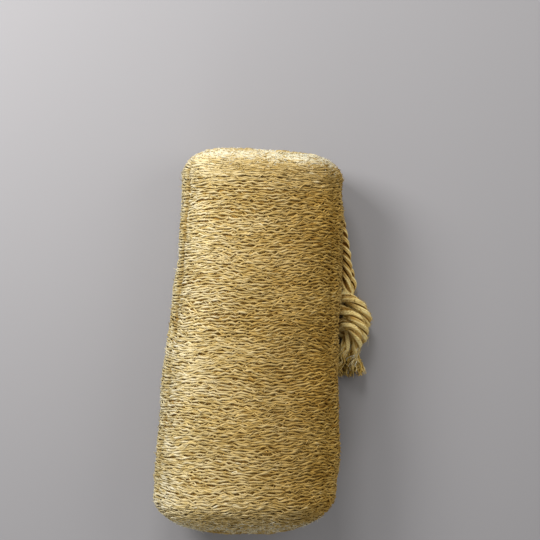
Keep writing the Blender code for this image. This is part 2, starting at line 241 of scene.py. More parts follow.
def crease_at(degrees, y):
    """Share of the crease's depth: a narrow bell round its angle, which fades towards the blunt end and
    stops before the cord end's cut."""
    share = bell(degrees - CREASE_DEG, CREASE_WIDTH_DEG)
    share = share * np.clip((y - CREASE_FADES[0]) / (CREASE_FADES[1] - CREASE_FADES[0]), CREASE_LEAST, 1)
    return share * np.clip((LENGTH / 2 - CREASE_STOPS - y) / CREASE_STOPS_OVER, 0, 1)


def slanted(point):
    """The cord end's cut is slanted: y falls with x, by the square of how far a point lies into that end."""
    into = np.clip((point[..., 1] - CUT_FROM) / (LENGTH / 2 - CUT_FROM), 0, 1.05) ** 2
    fall = CUT_SLANT * (point[..., 0] - (LEFT_EDGE[-1] + RIGHT_EDGE[-1]) / 2) + CUT_DROP
    point[..., 1] -= into * fall
    return point


def channel_space(point):
    """How far outside the nearest seed channel a point is, less than nothing inside it."""
    middle, wide, height, high = section(point[..., 1])
    nearest = np.full(point.shape[:-1], 1.0)
    for across, up, half_width, half_height in CHANNELS:
        x = (point[..., 0] - middle - across * wide) / half_width
        z = (point[..., 2] - height - up * high) / half_height
        nearest = np.minimum(nearest, (np.hypot(x, z) - 1) * half_height)
    return nearest


def oval_share(x, z):
    """The share of the section at which a place lies: its size by the oval's own measure, over x and z as
    shares of the half width and height."""
    return (np.abs(x) ** ROUNDNESS + np.abs(z) ** ROUNDNESS) ** (1 / ROUNDNESS)


def skin_depth(point):
    """How far a point lies inside the sponge's section, less than nothing outside it."""
    middle, wide, height, high = section(point[..., 1])
    return (1 - oval_share((point[..., 0] - middle) / wide, (point[..., 2] - height) / high)) * high


# Making meshes.


THINNEST = 0.03 * MM  # a stretch of fibre with a smaller radius is left out


def add_mesh(name, points, quads, finish, triangles=None, uv=None, values=None):
    """A piece from arrays: its points, its four-cornered faces, and the triangles that close its ends."""
    triangles = np.empty((0, 3), int) if triangles is None else triangles
    corners = np.concatenate([quads.ravel(), triangles.ravel()]).astype(np.int32)
    starts = np.concatenate([np.arange(len(quads)) * 4, quads.size + np.arange(len(triangles)) * 3])
    mesh = bpy.data.meshes.new(name)
    mesh.vertices.add(len(points))
    mesh.vertices.foreach_set("co", np.ascontiguousarray(points, dtype=np.float32).ravel())
    mesh.loops.add(len(corners))
    mesh.loops.foreach_set("vertex_index", corners)
    mesh.polygons.add(len(starts))
    mesh.polygons.foreach_set("loop_start", starts.astype(np.int32))
    mesh.polygons.foreach_set("use_smooth", np.full(len(starts), True))
    if uv is not None:
        mesh.uv_layers.new(name="uv").data.foreach_set("uv", uv[corners].astype(np.float32).ravel())
    for key, value in (values or {}).items():
        layer = mesh.attributes.new(key, "FLOAT", "POINT")
        layer.data.foreach_set("value", value.astype(np.float32).ravel())
    mesh.update(calc_edges=True)
    mesh.validate()
    mesh.materials.append(finish)
    made = bpy.data.objects.new(name, mesh)
    bpy.context.scene.collection.objects.link(made)
    return made


def unit(v):
    """Each vector made one long."""
    return v / np.maximum(np.linalg.norm(v, axis=-1, keepdims=True), 1e-12)


def tube_faces(rings, sides, base=0):
    """The four-cornered faces of a tube and the triangles that close it, over points numbered from the base:
    a pole, ring after ring, and the other pole."""
    index = base + 1 + np.arange(rings * sides).reshape(rings, sides)
    a, b = index[:-1], index[1:]
    quads = np.stack([a, np.roll(a, -1, 1), np.roll(b, -1, 1), b], axis=-1).reshape(-1, 4)
    first, last = index[0], index[-1]
    low = np.stack([np.full(sides, base), np.roll(first, -1), first], axis=-1)
    high = np.stack([np.full(sides, last[-1] + 1), last, np.roll(last, -1)], axis=-1)
    return quads, np.concatenate([low, high])


def closed_tube(name, rings, finish, tone):
    """A tube over a grid of points, ring by ring, closed on the middles of its first and its last ring."""
    points = np.concatenate([[rings[0].mean(axis=0)], rings.reshape(-1, 3), [rings[-1].mean(axis=0)]])
    quads, caps = tube_faces(*rings.shape[:2])
    made = add_mesh(name, points, quads, finish, caps, values={"tone": np.full(len(points), tone)})
    bm = bmesh.new()
    bm.from_mesh(made.data)
    bmesh.ops.recalc_face_normals(bm, faces=bm.faces)
    bm.to_mesh(made.data)
    bm.free()
    return made


def fibres(name, centre, facing, radius, finish, tone, sides=3, closed=False, side_of_skin=None, flat=1.0):
    """Fibres as one mesh: at each step of each path, a small polygon across it, joined to the next.

    Arrays are path by step. Flat is the polygon's height as a share of its width. A stretch whose radius has
    gone to nothing is left out, and none goes into the table. The side of the skin, from -1 at its left to 1
    at the cord's side, is how it faces unless it is given; it sets the fibre's painted side light and shade.
    """
    centre = np.concatenate([centre[..., :2], np.maximum(centre[..., 2:], radius[..., None])], axis=-1)
    if closed:
        onward = np.roll(centre, -1, axis=1) - np.roll(centre, 1, axis=1)
    else:
        onward = np.gradient(centre, axis=1)
    onward = unit(onward)
    side = unit(np.cross(onward, facing))
    upward = np.cross(side, onward)
    turn = np.linspace(0, 2 * math.pi, sides, endpoint=False)[:, None]
    ring = flat * np.cos(turn) * upward[:, :, None] + np.sin(turn) * side[:, :, None]
    points = centre[:, :, None] + radius[:, :, None, None] * ring
    index = np.arange(centre.shape[0] * centre.shape[1] * sides).reshape(*centre.shape[:2], sides)
    following = np.roll(index, -1, axis=1)
    thick = np.maximum(radius, np.roll(radius, -1, axis=1)) > THINNEST
    if not closed:
        thick[:, -1] = False
    faces = np.stack([index, np.roll(index, -1, 2), np.roll(following, -1, 2), following], axis=-1)
    used, faces = np.unique(faces[thick].reshape(-1, 4), return_inverse=True)
    turned = np.broadcast_to(facing[..., 0] if side_of_skin is None else side_of_skin, tone.shape)
    values = {
        key: np.repeat(value[:, :, None], sides, axis=2).ravel()[used]
        for key, value in (("tone", tone), ("side", turned))
    }
    return add_mesh(name, points.reshape(-1, 3)[used], faces.reshape(-1, 4), finish, values=values)


# Finishes.


def nodes_of(name):
    """A new material, its node tree and its shader."""
    finish = bpy.data.materials.new(name)
    finish.use_nodes = True
    tree = finish.node_tree
    return finish, tree, tree.nodes["Principled BSDF"]


def add_node(tree, kind, inputs=None, **settings):
    """A node with its settings, and its inputs given as values or as sockets to link."""
    made = tree.nodes.new(kind)
    for key, value in settings.items():
        setattr(made, key, value)
    for key, value in (inputs or {}).items():
        if isinstance(value, bpy.types.NodeSocket):
            tree.links.new(value, made.inputs[key])
        else:
            made.inputs[key].default_value = value
    return made


def arithmetic(tree, operation, *values):
    """One step of arithmetic on values or sockets."""
    return add_node(tree, "ShaderNodeMath", dict(enumerate(values)), operation=operation).outputs[0]


def share_between(tree, value, low, high):
    """How far a value lies on the way from low to high, kept within 0 and 1."""
    found = add_node(tree, "ShaderNodeMapRange", {"Value": value, "From Min": low, "From Max": high})
    return found.outputs["Result"]


def mixed(tree, blend, factor, first, second):
    """Two colours blended by a factor, or in full where there is none."""
    made = add_node(tree, "ShaderNodeMix", data_type="RGBA", blend_type=blend)
    made.inputs["Factor"].default_value = 1
    if factor is not None:
        tree.links.new(factor, made.inputs["Factor"])
    tree.links.new(first, made.inputs[6])
    tree.links.new(second, made.inputs[7])
    return made.outputs[2]


def ramp(tree, factor, stops):
    """A colour between stops, each given as its place and its colour."""
    made = add_node(tree, "ShaderNodeValToRGB", {"Fac": factor})
    band = made.color_ramp
    while len(band.elements) < len(stops):
        band.elements.new(0.5)
    for element, (at, colour) in zip(band.elements, stops):
        element.position = at
        element.color = (*colour, 1)
    return made.outputs["Color"]


def dry_fibre_effect():
    """Colour and normal of dry plant fibre, built once for all its finishes.

    The fibre's own tone, patches of stain and fine streaks choose between three colours and the bleached
    one. Painted light and shade by the side that the skin faces make them greyer at its left edge, paler on
    its left shoulder, and darker and browner towards the cord's side, with less of it on bleached fibre.
    """
    tree = bpy.data.node_groups.new("dry_fibre", "ShaderNodeTree")
    for name in ("Deep", "Middle", "Pale", "Bleached"):
        tree.interface.new_socket(name, in_out="INPUT", socket_type="NodeSocketColor")
    for name in ("Stain", "Side shading"):
        tree.interface.new_socket(name, in_out="INPUT", socket_type="NodeSocketFloat")
    tree.interface.new_socket("Colour", in_out="OUTPUT", socket_type="NodeSocketColor")
    tree.interface.new_socket("Normal", in_out="OUTPUT", socket_type="NodeSocketVector")
    given, result = tree.nodes.new("NodeGroupInput").outputs, tree.nodes.new("NodeGroupOutput").inputs
    place = add_node(tree, "ShaderNodeTexCoord").outputs["Object"]
    tone = add_node(tree, "ShaderNodeAttribute", attribute_name="tone").outputs["Fac"]
    side = add_node(tree, "ShaderNodeAttribute", attribute_name="side").outputs["Fac"]
    flat = add_node(tree, "ShaderNodeVectorMath", {0: place, 1: STAIN_SCALE}, operation="MULTIPLY")
    stain = {"Vector": flat.outputs["Vector"], "Scale": 1, "Detail": 3, "Roughness": 0.6}
    patch = add_node(tree, "ShaderNodeTexNoise", stain).outputs["Fac"]
    grain = {"Vector": place, "Scale": 700, "Detail": 2}
    streak = add_node(tree, "ShaderNodeTexNoise", grain).outputs["Fac"]
    stain_and_shade = arithmetic(tree, "MULTIPLY", arithmetic(tree, "SUBTRACT", patch, 0.5), given["Stain"])
    streaked = arithmetic(tree, "MULTIPLY_ADD", streak, 0.4, -0.2)
    shifted = arithmetic(tree, "ADD", arithmetic(tree, "ADD", tone, stain_and_shade), streaked)
    colour = mixed(tree, "MIX", share_between(tree, shifted, 0.0, 0.5), given["Deep"], given["Middle"])
    colour = mixed(tree, "MIX", share_between(tree, shifted, 0.5, 1.0), colour, given["Pale"])
    bleached = share_between(tree, shifted, 1.1, 1.7)
    colour = mixed(tree, "MIX", bleached, colour, given["Bleached"])
    # Painted light and shade: a tint chosen by the side that the skin faces, with less of it on bleached
    # fibre.
    side_light_tint = ramp(tree, share_between(tree, side, -1.0, 1.0), SIDE_LIGHT_AND_SHADE)
    kept = arithmetic(tree, "MULTIPLY_ADD", bleached, -0.7, 1.0)
    kept = arithmetic(tree, "MULTIPLY", kept, given["Side shading"])
    tree.links.new(mixed(tree, "MULTIPLY", kept, colour, side_light_tint), result["Colour"])
    bump = add_node(tree, "ShaderNodeBump", {"Height": streak, "Strength": 0.4, "Distance": BUMP_HEIGHT})
    tree.links.new(bump.outputs["Normal"], result["Normal"])
    return tree


# How often stains come across, along and up the sponge, and how high the bumps of yarns and streaks stand.
STAIN_SCALE, BUMP_HEIGHT = (26, 60, 40), 0.2 * MM
# Painted light and shade by the side that the skin faces: tints of the left edge, the bright left shoulder
# (a painted highlight), the middle, and the shaded cord's side, from left to right.
SIDE_LIGHT_AND_SHADE = [
    (0.0, (0.82, 0.91, 1.15)), (0.13, (0.88, 0.98, 1.30)), (0.27, (0.98, 1.04, 1.20)),
    (0.41, (0.78, 0.77, 0.74)), (0.5, (0.75, 0.71, 0.61)), (0.66, (0.58, 0.50, 0.33)),
    (0.85, (0.73, 0.60, 0.31)), (1.0, (0.88, 0.77, 0.50)),
]
BLEACHED = (0.72, 0.70, 0.56)
DRY_FIBRE = dry_fibre_effect()


def fibre_finish(name, deep, middle, pale, roughness=0.75, stain=1.2, side_shading=1.0):
    """A finish of dry fibre from three colours of its own and the bleached one that all of them share."""
    finish, tree, shader = nodes_of(name)
    effect = add_node(tree, "ShaderNodeGroup", node_tree=DRY_FIBRE)
    for key, colour in (("Deep", deep), ("Middle", middle), ("Pale", pale), ("Bleached", BLEACHED)):
        effect.inputs[key].default_value = (*colour, 1)
    effect.inputs["Stain"].default_value, effect.inputs["Side shading"].default_value = stain, side_shading
    tree.links.new(effect.outputs["Colour"], shader.inputs["Base Color"])
    tree.links.new(effect.outputs["Normal"], shader.inputs["Normal"])
    shader.inputs["Roughness"].default_value = roughness
    shader.inputs["Specular IOR Level"].default_value = 0.15
    return finish


def cotton_finish(name, groove_shade, dark, pale):
    """Undyed cotton cord: fine yarns that lie slanting on each strand, darker between them, with soiled
    patches, and painted shade, dark brown, in the grooves between the strands and wherever the groove shade
    value rises."""
    finish, tree, shader = nodes_of(name)
    place = add_node(tree, "ShaderNodeTexCoord").outputs
    inward = add_node(tree, "ShaderNodeAttribute", attribute_name="groove_shade").outputs["Fac"]
    bands = {"Vector": place["UV"], "Scale": 1.0, "Distortion": 1.2, "Detail": 2, "Detail Scale": 1.5}
    yarn = add_node(tree, "ShaderNodeTexWave", bands, bands_direction="DIAGONAL").outputs["Fac"]
    soil = {"Vector": place["Object"], "Scale": 160, "Detail": 4, "Roughness": 0.65}
    patch = add_node(tree, "ShaderNodeTexNoise", soil).outputs["Fac"]
    worn = arithmetic(tree, "ADD", patch, arithmetic(tree, "MULTIPLY", yarn, 0.25))
    surface = ramp(tree, share_between(tree, worn, 0.3, 0.8), [(0.0, dark), (1.0, pale)])
    # Painted shade, from white to dark brown as the groove shade value rises.
    deep = ramp(tree, inward, [(0.10, (1.0, 1.0, 1.0)), (0.30, (0.66, 0.52, 0.32)), (0.58, groove_shade)])
    tree.links.new(mixed(tree, "MULTIPLY", None, surface, deep), shader.inputs["Base Color"])
    bump = add_node(tree, "ShaderNodeBump", {"Height": yarn, "Strength": 0.35, "Distance": BUMP_HEIGHT})
    tree.links.new(bump.outputs["Normal"], shader.inputs["Normal"])
    shader.inputs["Roughness"].default_value = 0.9
    shader.inputs["Specular IOR Level"].default_value = 0.1
    return finish


NET_FINISH = fibre_finish(
    "net_fibre", (0.34, 0.21, 0.05), (0.50, 0.37, 0.14), (0.66, 0.54, 0.29), stain=1.5
)
INNER_FINISH = fibre_finish(
    "inner_fibre", (0.46, 0.29, 0.07), (0.66, 0.48, 0.17), (0.80, 0.63, 0.30), stain=1.5
)
CORE_FINISH = fibre_finish(
    "deep_pulp", (0.46, 0.27, 0.06), (0.64, 0.42, 0.12), (0.76, 0.55, 0.21), roughness=0.9
)
# Cut tips take only a little of the painted side light and shade.
TIP_FINISH = fibre_finish(
    "cut_tip", (0.54, 0.48, 0.31), (0.63, 0.60, 0.46), (0.69, 0.68, 0.57), side_shading=0.15
)
# The first colour is the painted shade in the grooves.
COTTON = cotton_finish("cotton", (0.14, 0.07, 0.015), (0.74, 0.52, 0.16), (1.0, 0.86, 0.42))
YARN = fibre_finish("loose_yarn", (0.12, 0.055, 0.006), (0.44, 0.27, 0.05), (0.86, 0.65, 0.20))


# The cord.


def smooth_route(points, step):
    """Points a step apart on a smooth curve through given ones, which are in millimetres."""
    knots = np.array(points, float) * MM
    chord = np.concatenate([[0], np.cumsum(np.linalg.norm(np.diff(knots, axis=0), axis=1))])
    fine = np.linspace(0, chord[-1], 24 * len(knots))
    line = np.stack([smooth_through(chord, knots[:, k], fine) for k in range(3)], axis=1)
    along = np.concatenate([[0], np.cumsum(np.linalg.norm(np.diff(line, axis=0), axis=1))])
    at = np.linspace(0, along[-1], max(2, round(along[-1] / step) + 1))
    return np.stack([np.interp(at, along, line[:, k]) for k in range(3)], axis=1)


def steady_frame(route):
    """Two directions across a route that turn with it without spinning about it."""
    onward = unit(np.gradient(route, axis=0))
    across = np.empty_like(route)
    across[0] = unit(np.cross(onward[0], (0.3, 0.2, 1.0)))
    for i in range(1, len(route)):
        across[i] = unit(across[i - 1] - onward[i] * np.dot(across[i - 1], onward[i]))
    return across, np.cross(onward, across)


def nearest_step(route, place):
    """Where along a route it comes nearest to a given point, which is in millimetres."""
    return int(np.linalg.norm(route - np.array(place) * MM, axis=1).argmin())


def lay_cord():
    """The whole cord from one frayed end to the other as one route, and the turn of its strands along it.

    The strands turn once every lay, which is longer in the knot, where the cord is pulled tight. How free
    the cord is goes from 0 in the knot to 1 in the loop.
    """
    route = smooth_route(KNOT_CORE[::-1] + UPPER_LEG + BIGHT + LOWER_LEG + KNOT_WOUND, ROUTE_STEP)
    along = np.concatenate([[0], np.cumsum(np.linalg.norm(np.diff(route, axis=0), axis=1))])
    leaves, enters = nearest_step(route, UPPER_LEG[0]), nearest_step(route, LOWER_LEG[-1])
    ends = along[leaves] + TIGHT_PAST_KNOT, along[enters] - TIGHT_PAST_KNOT
    free = np.interp(along, (ends[0] - EASES_OVER, *ends, ends[1] + EASES_OVER), (0, 1, 1, 0))
    lay = KNOT_LAY + (FREE_LAY - KNOT_LAY) * free
    turn = np.concatenate([[0], np.cumsum(2 * math.pi * np.diff(along) / lay[1:])])
    return route, along, steady_frame(route), turn, free, leaves, enters


ROUTE_STEP = 0.5 * MM
TIGHT_PAST_KNOT, EASES_OVER = 5 * MM, 10 * MM
STRANDS = 3
FREE_LAY, KNOT_LAY = 15 * MM, 24 * MM
# A strand's distance from the route and its own radius, as shares of the cord's radius.
FREE_OFFSET, FREE_SIZE = 0.55, 0.455
KNOT_OFFSET, KNOT_SIZE = 0.48, 0.515
YARNS_IN_STRAND, YARN_TWIST, YARN_RIDGE = 5, 26 * MM, 0.085
YARN_BANDS_A_MM, YARN_BANDS_ROUND = 0.55, 4
# The sponge's painted shadow darkens the cord this near to the sponge, over this length, and below this
# height, over this height.
SPONGE_SHADE_REACH, SPONGE_SHADE_FADE = 3.6 * MM, 1.8 * MM
SPONGE_SHADE_TOP, SPONGE_SHADE_TOP_FADE = 13 * MM, 1.5 * MM
TAIL_CURLS, TAIL_YARNS = 15, 12
CORD, CORD_ALONG, CORD_FRAME, CORD_TURN, CORD_FREE, KNOT_LEFT, KNOT_ENTERED = lay_cord()


def twisted(name, low, high, finish, sides=20):
    """A stretch of the cord: strands about half its radius from its route and turned by the lay.

    Each strand is a tube with a ridge for each of its yarns, and lies nearer to the others in the knot. The
    groove shade value paints shade: it is highest where strands meet and between the yarn ridges, and is
    raised on the loop, and near the sponge and low down, where it paints the sponge's shadow.
    """
    route, along, turned = (grid[low : high + 1] for grid in (CORD, CORD_ALONG, CORD_TURN))
    across, up = (direction[low : high + 1] for direction in CORD_FRAME)
    free = CORD_FREE[low : high + 1, None]
    radius = CORD_DIAMETER / 2
    offset = radius * (KNOT_OFFSET + (FREE_OFFSET - KNOT_OFFSET) * free)
    size = radius * (KNOT_SIZE + (FREE_SIZE - KNOT_SIZE) * free)
    corner = np.linspace(0, 2 * math.pi, sides, endpoint=False)[None, :]
    u = np.repeat(along[:, None], sides, axis=1) / MM * YARN_BANDS_A_MM
    v = np.repeat(np.linspace(0, YARN_BANDS_ROUND, sides, endpoint=False)[None], len(route), axis=0)
    uv = np.concatenate([[[u[0, 0], 0]], np.stack([u, v], -1).reshape(-1, 2), [[u[-1, 0], 0]]])
    points, quads, caps, inwards = [], [], [], []
    for strand in range(STRANDS):
        turn = (2 * math.pi * strand / STRANDS - turned)[:, None]
        off = np.cos(turn) * across + np.sin(turn) * up
        centre = route + offset * off
        onward = unit(np.gradient(centre, axis=0))
        side = unit(np.cross(onward, off))
        out = np.cross(side, onward)
        ring = np.cos(corner)[..., None] * out[:, None] + np.sin(corner)[..., None] * side[:, None]
        ridge = np.cos(YARNS_IN_STRAND * corner - 2 * math.pi * along[:, None] / YARN_TWIST)
        ridged = 1 + YARN_RIDGE * ridge
        tube = centre[:, None] + ring * (size * ridged)[:, :, None]
        # Painted shadow of the sponge on the cord, near it and low down.
        stain_and_shade = np.clip((skin_depth(tube) + SPONGE_SHADE_REACH) / SPONGE_SHADE_FADE, 0, 1)
        stain_and_shade = stain_and_shade * np.clip((SPONGE_SHADE_TOP - tube[..., 2]) / SPONGE_SHADE_TOP_FADE, 0, 1)
        # Painted shade: darker where the strand faces the others, between its yarn ridges, over the loop, and
        # in the sponge's shadow.
        inward = (0.75 + 0.3 * free) * (0.5 - 0.5 * np.cos(corner)) + 1.9 * (1 - ridged)
        inward = inward + 0.12 * free + (0.12 + 0.10 * free) * stain_and_shade
        inwards.append(np.concatenate([[0.5], inward.ravel(), [0.5]]))
        points.append(np.concatenate([centre[:1], tube.reshape(-1, 3), centre[-1:]]))
        sleeve, ends = tube_faces(len(route), sides, strand * len(uv))
        quads.append(sleeve)
        caps.append(ends)
    return add_mesh(
        name, np.concatenate(points), np.concatenate(quads), finish, np.concatenate(caps),
        np.tile(uv, (STRANDS, 1)), {"groove_shade": np.concatenate(inwards)},
    )


def build_cord():
    """The loop in three pieces, each with its route, and the knot's two cords, frayed tails and fuzz."""
    inside = KNOT_LEFT + np.flatnonzero(skin_depth(CORD[KNOT_LEFT:KNOT_ENTERED]) > 0)
    cuts = KNOT_LEFT, int(inside[0]), int(inside[-1]), KNOT_ENTERED
    legs = {}
    for name, low, high in zip(("cord_upper_leg", "cord_inside", "cord_lower_leg"), cuts, cuts[1:]):
        legs[name] = (twisted(name, low, high, COTTON), CORD[low : high + 1])
    core_end, wound_end = nearest_step(CORD, TAIL_OF_CORE[1]), nearest_step(CORD, TAIL_OF_WOUND[1])
    knot = [
        twisted("knot_core_cord", core_end, KNOT_LEFT, COTTON),
        twisted("knot_wound_cord", KNOT_ENTERED, wound_end, COTTON),
        frayed("frayed_tail_of_core", TAIL_OF_CORE, 21),
        frayed("frayed_tail_of_wound", TAIL_OF_WOUND, 22),
        cord_fuzz("knot_fuzz", KNOT_ENTERED, wound_end, 1300, 31),
    ]
    return legs, knot


def frayed(name, points, seed, steps=16):
    """Cut yarns that come loose at a cord's end, in curls.

    Each curl runs down the route at its own place across it, and spreads and sways more the further it goes.
    Its yarns keep near its middle and end at their own lengths.
    """
    chance = np.random.default_rng(seed)
    route = smooth_route(points, ROUTE_STEP)
    across, up = steady_frame(route)
    count = TAIL_CURLS * TAIL_YARNS

    def for_curl(low, high, own=0.0):
        """A random value for each curl, from low to high, and a small one of each of its yarns."""
        shared = np.repeat(chance.uniform(low, high, (TAIL_CURLS, 1)), TAIL_YARNS, axis=0)
        return shared + chance.normal(0, own + 1e-9, (count, 1))

    t = np.linspace(0, 1, steps)[None, :]
    length = np.clip(for_curl(0.62, 1.0, 0.12), 0.35, 1.0)
    at, whole = t * length * (len(route) - 1), np.arange(len(route))
    centre, sideways, upward = (
        np.stack([np.interp(at, whole, grid[:, k]) for k in range(3)], axis=-1)
        for grid in (route, across, up)
    )
    turn = for_curl(0, 2 * math.pi, 0.22)
    out = np.clip(np.sqrt(for_curl(0.05, 1.0)) + for_curl(0, 0, 0.09), 0.05, 1.1)
    spread = (1.8 + 2.7 * (t * length) ** 1.2) * MM
    sway = []
    for _ in range(2):
        size, rate, start = for_curl(0.6, 2.5, 0.2), for_curl(6, 18, 0.6), for_curl(0, 6.3, 0.4)
        sway.append(size * MM * t * np.sin(rate * t + start))
    turn = turn + 1.2 * t
    point = centre + sideways * (out * spread * np.cos(turn) + sway[0])[..., None]
    point = point + upward * (out * spread * np.sin(turn) + sway[1])[..., None]
    radius = chance.uniform(0.15, 0.34, (count, 1)) * MM * (1 - 0.55 * t**3)
    # Painted shade: curls nearer the tail's middle are darker, those further out paler.
    shade = np.repeat(for_curl(-0.1, 0.6, 0.25) + 0.65 * out**2, steps, axis=1)
    return fibres(name, point, upward, radius, YARN, shade, sides=5, side_of_skin=0.0)


def cord_fuzz(name, low, high, count, seed, steps=4):
    """Short loose hairs of the cotton: each leaves the cord's surface, runs along it one way or the other
    and curls away a little."""
    chance = np.random.default_rng(seed)
    at = chance.integers(low, high, count)
    across, up = (direction[at] for direction in CORD_FRAME)
    onward = np.cross(across, up) * chance.choice((-1, 1), (count, 1))
    turn = chance.uniform(0, 2 * math.pi, (count, 1))
    out = np.cos(turn) * across + np.sin(turn) * up
    aside = np.cross(onward, out) * chance.normal(0, 0.8, (count, 1))
    t = np.linspace(0, 1, steps)[None, :, None]
    reach = chance.uniform(0.6, 2.0, (count, 1, 1)) * MM
    point = CORD[at][:, None] + out[:, None] * CORD_DIAMETER * 0.46
    point = point + reach * (t * (onward + aside)[:, None] + out[:, None] * (0.9 * t - 0.6 * t**2))
    radius = 0.10 * MM * (1 - 0.7 * t[..., 0]) * np.ones((count, 1))
    shade = np.repeat(chance.uniform(0.4, 1.5, (count, 1)), steps, axis=1)
    return fibres(name, point, np.repeat(out[:, None], steps, axis=1), radius, YARN, shade, side_of_skin=0.0)


# The net.


CUT_FELT = 26 * MM  # how far before the cord end's rim the net begins to close into a felt
NET_ROUGH = 0.35 * MM  # how far the net's fibres dip and rise
PALER_FROM, PALER_OVER = -48 * MM, 22 * MM  # where along the sponge it grows paler towards the blunt end
CORD_ROOM, CORD_ROOM_FADE = 2.7 * MM, 0.5 * MM
CHANNEL_FADE = 0.6 * MM


def cord_room(point):
    """Share of a fibre's thickness that is left near the cord, from none at its side to all a little off."""
    nearest = np.full(point.shape[:-1], 1.0)
    for spot in CORD[KNOT_LEFT:KNOT_ENTERED:4]:
        nearest = np.minimum(nearest, np.linalg.norm(point - spot, axis=-1))
    return np.clip((nearest - CORD_ROOM) / CORD_ROOM_FADE, 0, 1)


def channel_room(point, inside):
    """Share of a fibre's thickness that the seed channels leave, from none that far inside their walls."""
    return np.clip((channel_space(point) + inside) / CHANNEL_FADE, 0, 1)


def ring_net(
    name, finish, pitch, eye, step, depth, thickness, slant, reach, seed, tone_range, closeness=0.5, sides=3
):
    """A net of fibres that run round the sponge and part and meet in pairs, so that eyes open between them.

    Fibre i lies at i times the pitch, plus or minus a share of the pitch by a cosine round the girth whose
    sign changes from each fibre to the next, plus slow drifts of the whole net and a small unevenness of its
    own. By the cord end's cut the eyes close and the fibres thicken into a felt. The tone rises by a bell at
    each rim and towards the blunt end. It falls with a fibre's depth and in the crease, as painted shade, and
    rises near the cut on the side towards the cord, as painted light.
    """
    chance = np.random.default_rng(seed)
    low, high = reach
    count = round((high - low) / pitch)
    around = np.linspace(0, 1, round(GIRTH / step), endpoint=False)[None, :]
    level = low + (np.arange(count)[:, None] + 0.5) * pitch

    def drift(wide, tall, number):
        """One of the net's drifts, of a size in millimetres round and along the sponge."""
        return waves(around, level, (wide * MM, tall * MM), seed + number)

    sign = np.where(np.arange(count)[:, None] % 2, 1.0, -1.0)
    phase = 2 * math.pi * round(GIRTH / eye) * around + 3.2 * drift(22, 6, 1) + 2.2 * drift(10, 3, 2)
    pair = np.repeat(chance.uniform(-1.1, 1.1, count // 2 + 1), 2)[:count, None]
    by_cut = np.clip(1.3 - 1.3 * (CORD_RIM - level) / CUT_FELT, 0, 1)
    spread = closeness * (1 + 0.8 * drift(9, 4, 3)) * (1 - 0.85 * by_cut)
    spread = spread * np.clip(0.55 + (CORD_RIM - level) / (70 * MM), 0.55, 1)
    spread = spread * (1 - 1.2 * np.clip(-np.cos(2 * math.pi * around) - 0.5, 0, 0.5))
    along = level + sign * spread * pitch * np.cos(phase + pair)
    along = along + slant * (drift(46, 30, 4) + 0.22 * drift(13, 9, 5))
    own = chance.uniform(-1, 1, (count, 1))
    along = along + pitch * (0.18 * own + 0.16 * drift(9, 1.4, 9))
    along = np.clip(along, 3 * MM, ALONG[-1] - 3 * MM)
    own_depth = NET_ROUGH * drift(5, 1.6, 6) * (1 - 0.6 * by_cut)
    point, facing = skin(around, along, depth)
    point = point - facing * np.maximum(own_depth, -0.3 * MM)[..., None]
    uneven = 0.35 * drift(7, 2.0, 7) * (1 - 0.5 * by_cut)
    radius = thickness * (1 + uneven + 0.15 * own + 0.42 * by_cut)
    radius = radius * cord_room(point) * channel_room(point, 0.2 * MM)
    darkest, palest = tone_range
    # Painted shade: fibres that dip deeper are darker.
    tone = darkest + (palest - darkest) * (0.5 + 0.5 * drift(8, 1.5, 8)) - 0.25 * own_depth / NET_ROUGH
    tone = tone + 0.7 * bell(along - BLUNT_RIM + 1 * MM, 7 * MM)
    tone = tone + 0.95 * bell(np.minimum(along - CORD_RIM + 3 * MM, 0), 6 * MM)
    # Painted light: paler near the cord end's cut on the side towards the cord.
    tone = tone + 0.5 * by_cut * np.clip(3 * facing[..., 0], 0, 1)
    tone = tone + 0.16 * np.clip((PALER_FROM - point[..., 1]) / PALER_OVER, 0, 1)
    # Painted shade in the crease.
    tone = tone - 1.3 * crease_at(np.degrees(np.interp(around, ROUND, TURNS)), point[..., 1])
    # Painted light near the cord end's cut: there the painted side shade of the cord's side is mostly taken
    # off.
    side = facing[..., 0] * np.where(facing[..., 0] > 0, 1 - 0.95 * by_cut, 1)
    return fibres(name, point, facing, radius, finish, np.clip(tone, 0, 1.6), sides, True, side, flat=0.65)


def lengthwise_net(name, finish, count, step, depth, thickness, seed):
    """Coarser fibres under the net that run from end to end and sway from side to side."""
    along = np.arange(BLUNT_RIM - 2 * MM, CORD_RIM + 2 * MM, step)[None, :]
    place = (np.arange(count)[:, None] + 0.5) / count
    around = place + 2.4 * MM / GIRTH * waves(place, along, (9 * MM, 12 * MM), seed)
    under = depth + 0.5 * MM * waves(place, along, (6 * MM, 8 * MM), seed + 1)
    point, facing = skin(around, along, depth)
    point = point - facing * (under - depth)[..., None]
    point[..., 2] = np.maximum(point[..., 2], depth)
    radius = thickness * (1 + 0.3 * waves(place, along, (8 * MM, 14 * MM), seed + 2)) * cord_room(point)
    radius = radius * channel_room(point, -0.1 * MM)
    tone = 0.5 + 0.4 * waves(place, along, (5 * MM, 20 * MM), seed + 3)
    return fibres(name, point, facing, radius, finish, np.clip(tone, 0, 1))


def face_y(share, end):
    """How far along the sponge an end's cut face or rounding lies at a share of the section."""
    half = len(PROFILE_Y) // 2
    if end < 0:
        return np.interp(share, PROFILE_SHARE[:half], PROFILE_Y[:half])
    return np.interp(share, PROFILE_SHARE[half:][::-1], PROFILE_Y[half:][::-1])


def face_point(x, z, end, depth):
    """The place on an end's cut face and rounding over x and z, given as shares of the half section."""
    share = oval_share(x, z)
    y = face_y(share, end)
    middle, wide, height, high = section(y)
    point = slanted(np.stack([middle + x * wide, y - end * depth, height + z * high], axis=-1))
    point[..., 2] = np.maximum(point[..., 2], 0.4 * MM)
    return point, share


